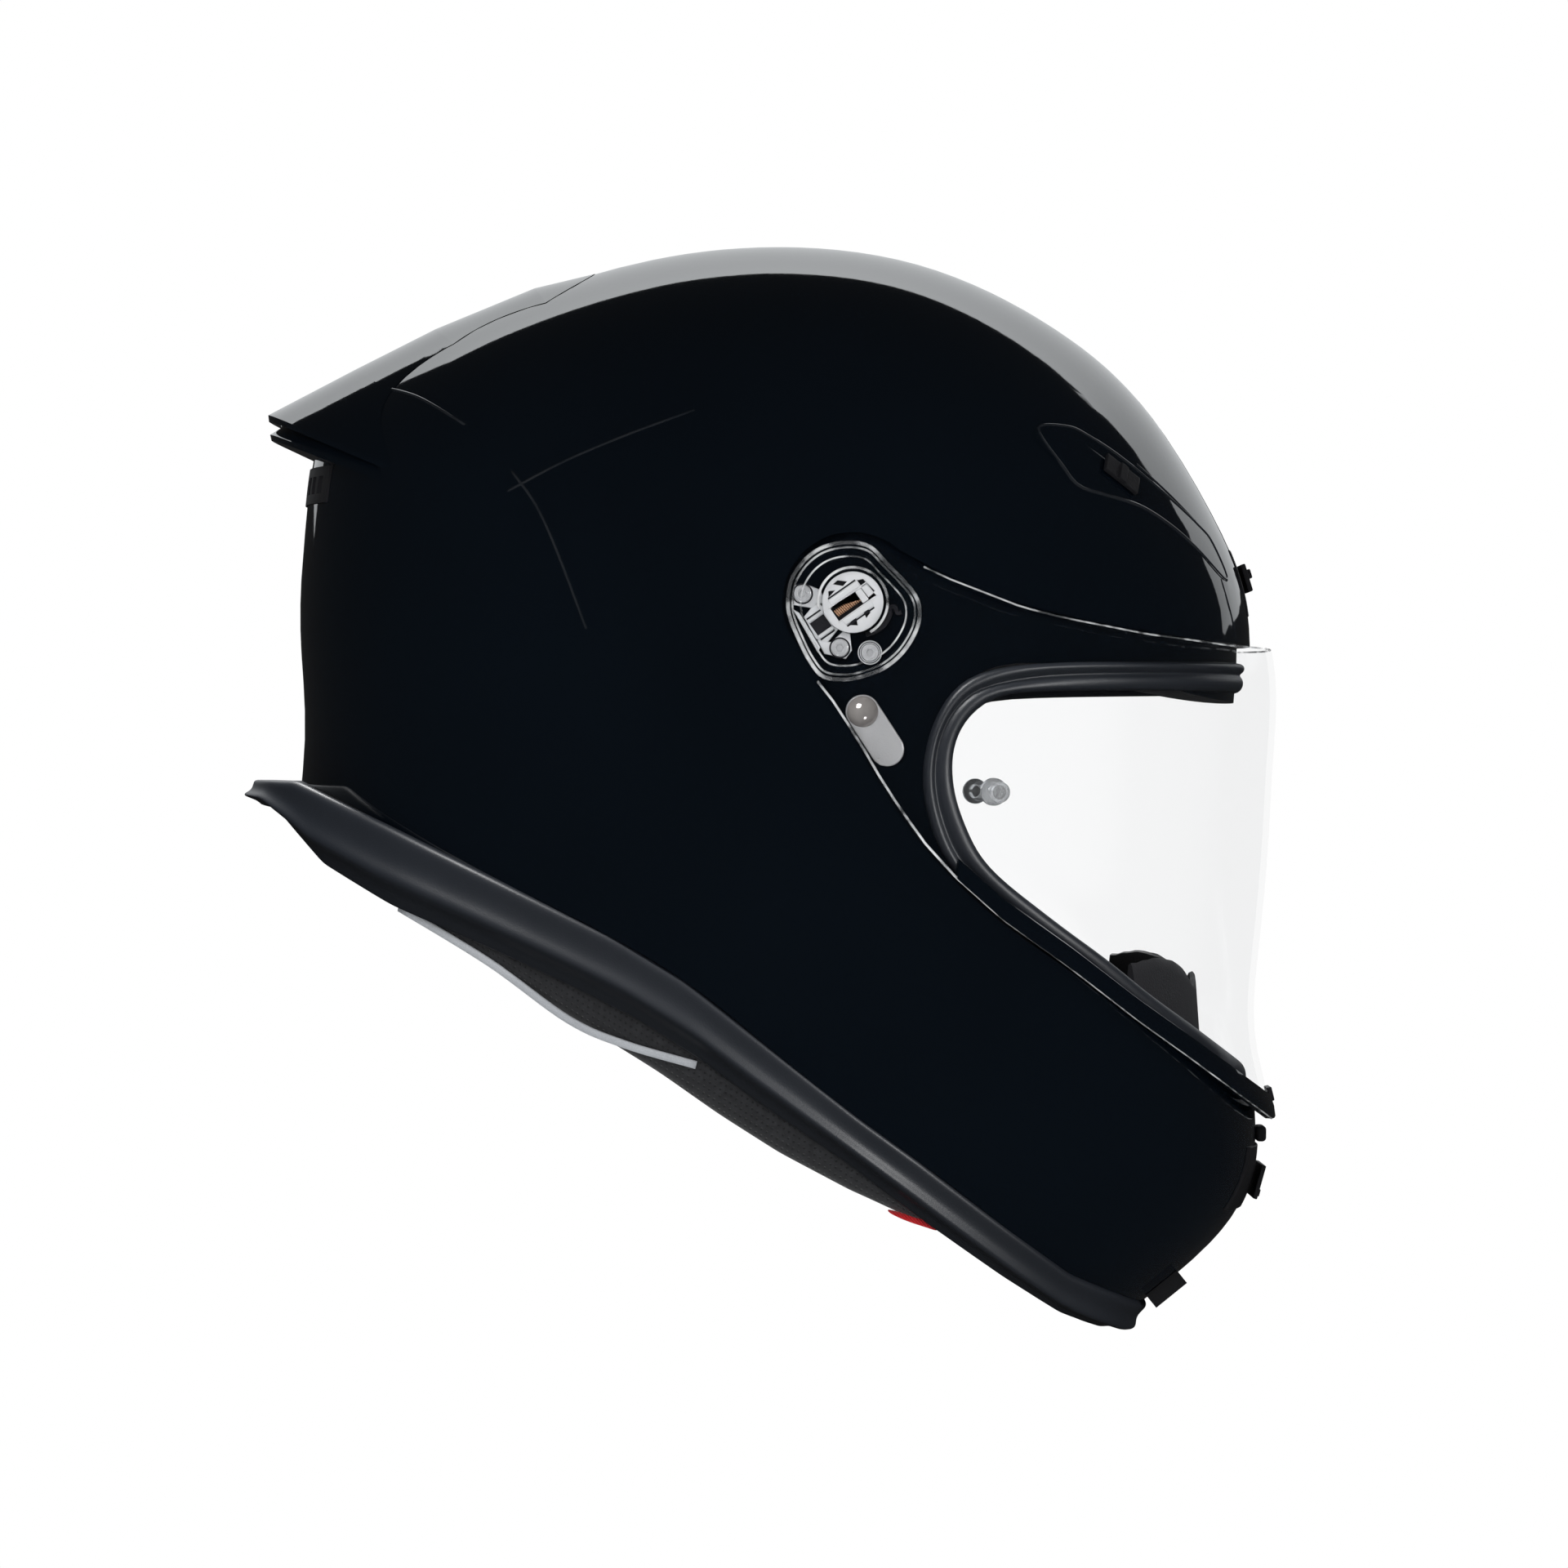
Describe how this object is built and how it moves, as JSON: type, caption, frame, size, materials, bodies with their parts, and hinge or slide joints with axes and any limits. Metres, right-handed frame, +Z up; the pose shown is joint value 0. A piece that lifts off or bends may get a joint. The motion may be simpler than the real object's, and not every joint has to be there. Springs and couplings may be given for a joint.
{
  "type": "motorcycle helmet",
  "caption": "Full-face motorcycle helmet with a lifting clear visor, sliding vents, padded lining and a double-ring chin strap.",
  "frame": {"origin": "middle of the head cavity on the mid-plane, where the wearer's head sits", "axes": "+X forward, the way the wearer looks; +Y the wearer's left; +Z up, as worn"},
  "size_m": [0.3242, 0.2538, 0.3441],
  "materials": {
    "shell": "deep gloss lacquer",
    "liner_foam": "moulded foam bead",
    "comfort_fabric": "black mesh fabric",
    "roll_fabric": "perforated soft fabric",
    "reflective": "grey reflective piping",
    "pull_tab": "red woven tab",
    "trim_rubber": "satin",
    "vent_plastic": "matte",
    "vent_gloss": "gloss",
    "visor_clear": "clear polycarbonate",
    "visor_fitting": "gloss",
    "post_clear": "clear moulded",
    "pivot_plastic": "frosted",
    "pivot_steel": "bright",
    "spring": "copper-coloured wire",
    "stud_metal": "satin",
    "webbing": "woven",
    "ring_steel": "polished"
  },
  "bodies": {
    "helmet": {"outer_shell": "shell", "rear_spoiler": "shell", "impact_liner_crown": "liner_foam", "impact_liner_right": "liner_foam", "impact_liner_left": "liner_foam", "impact_liner_chin": "liner_foam", "crown_liner": "comfort_fabric", "cheek_pad_right": "comfort_fabric", "cheek_pad_left": "comfort_fabric", "chin_curtain": "comfort_fabric", "neck_roll": "roll_fabric", "reflective_piping_right": "reflective", "reflective_piping_left": "reflective", "pull_tab_right": "pull_tab", "pull_tab_left": "pull_tab", "base_trim": "trim_rubber", "eyeport_gasket": "trim_rubber", "rear_exhaust_grille": "vent_plastic", "centre_vent_frame": "vent_plastic", "chin_vent_housing": "vent_plastic", "chin_intake": "vent_plastic", "visor_catch": "vent_plastic", "breath_deflector": "vent_plastic", "brow_vent_frame_right": "vent_gloss", "brow_vent_frame_left": "vent_gloss", "pivot_base_right": "pivot_plastic", "pivot_base_left": "pivot_plastic", "pivot_screws_right": "pivot_steel", "pivot_screws_left": "pivot_steel", "stud_plate_right": "stud_metal", "stud_plate_left": "stud_metal", "lock_stud_right": "stud_metal", "lock_stud_left": "stud_metal", "strap_right": "webbing", "strap_left": "webbing", "strap_anchors": "ring_steel"},
    "visor": {"visor": "visor_clear", "visor_hub_right": "visor_clear", "visor_hub_left": "visor_clear", "visor_lift_tab": "visor_fitting", "anti_fog_post_right": "post_clear", "anti_fog_post_left": "post_clear"},
    "brow_vent_right": {"brow_slider_right": "vent_plastic"},
    "brow_vent_left": {"brow_slider_left": "vent_plastic"},
    "centre_vent": {"centre_vent_slider": "vent_plastic"},
    "chin_vent": {"chin_vent_slider": "vent_plastic"},
    "pivot_latch_right": {"pivot_latch_right": "pivot_steel", "latch_spring_right": "spring"},
    "pivot_latch_left": {"pivot_latch_left": "pivot_steel", "latch_spring_left": "spring"},
    "ring_outer": {"d_ring_outer": "ring_steel"},
    "ring_inner": {"d_ring_inner": "ring_steel"}
  },
  "joints": [
    {"name": "visor_lift", "type": "hinge", "parent": "helmet", "child": "visor", "pos_m": [0.0234, 0, 0.003], "axis": [0, -1, 0], "range_deg": [0, 50]},
    {"name": "brow_vent_right_slide", "type": "slide", "parent": "helmet", "child": "brow_vent_right", "axis": [0.7257, 0.4208, -0.5443], "range_m": [0, 0.005]},
    {"name": "brow_vent_left_slide", "type": "slide", "parent": "helmet", "child": "brow_vent_left", "axis": [0.7257, -0.4208, -0.5443], "range_m": [0, 0.005]},
    {"name": "centre_vent_slide", "type": "slide", "parent": "helmet", "child": "centre_vent", "axis": [0.2891, 0, -0.9573], "range_m": [-0.005, 0]},
    {"name": "chin_vent_slide", "type": "slide", "parent": "helmet", "child": "chin_vent", "axis": [-0.2711, 0, -0.9626], "range_m": [0, 0.004]},
    {"name": "pivot_latch_right_slide", "type": "slide", "parent": "helmet", "child": "pivot_latch_right", "axis": [0.8191, 0, 0.5736], "range_m": [0, 0.002], "stiffness_N_per_m": 800},
    {"name": "pivot_latch_left_slide", "type": "slide", "parent": "helmet", "child": "pivot_latch_left", "axis": [0.8191, 0, 0.5736], "range_m": [0, 0.002], "stiffness_N_per_m": 800},
    {"name": "ring_outer_swing", "type": "hinge", "parent": "helmet", "child": "ring_outer", "pos_m": [0.0265, -0.055, -0.155], "axis": [1, 0, 0], "range_deg": [-30, 8]},
    {"name": "ring_inner_swing", "type": "hinge", "parent": "helmet", "child": "ring_inner", "pos_m": [0.0265, -0.046, -0.155], "axis": [1, 0, 0], "range_deg": [-8, 45]}
  ]
}
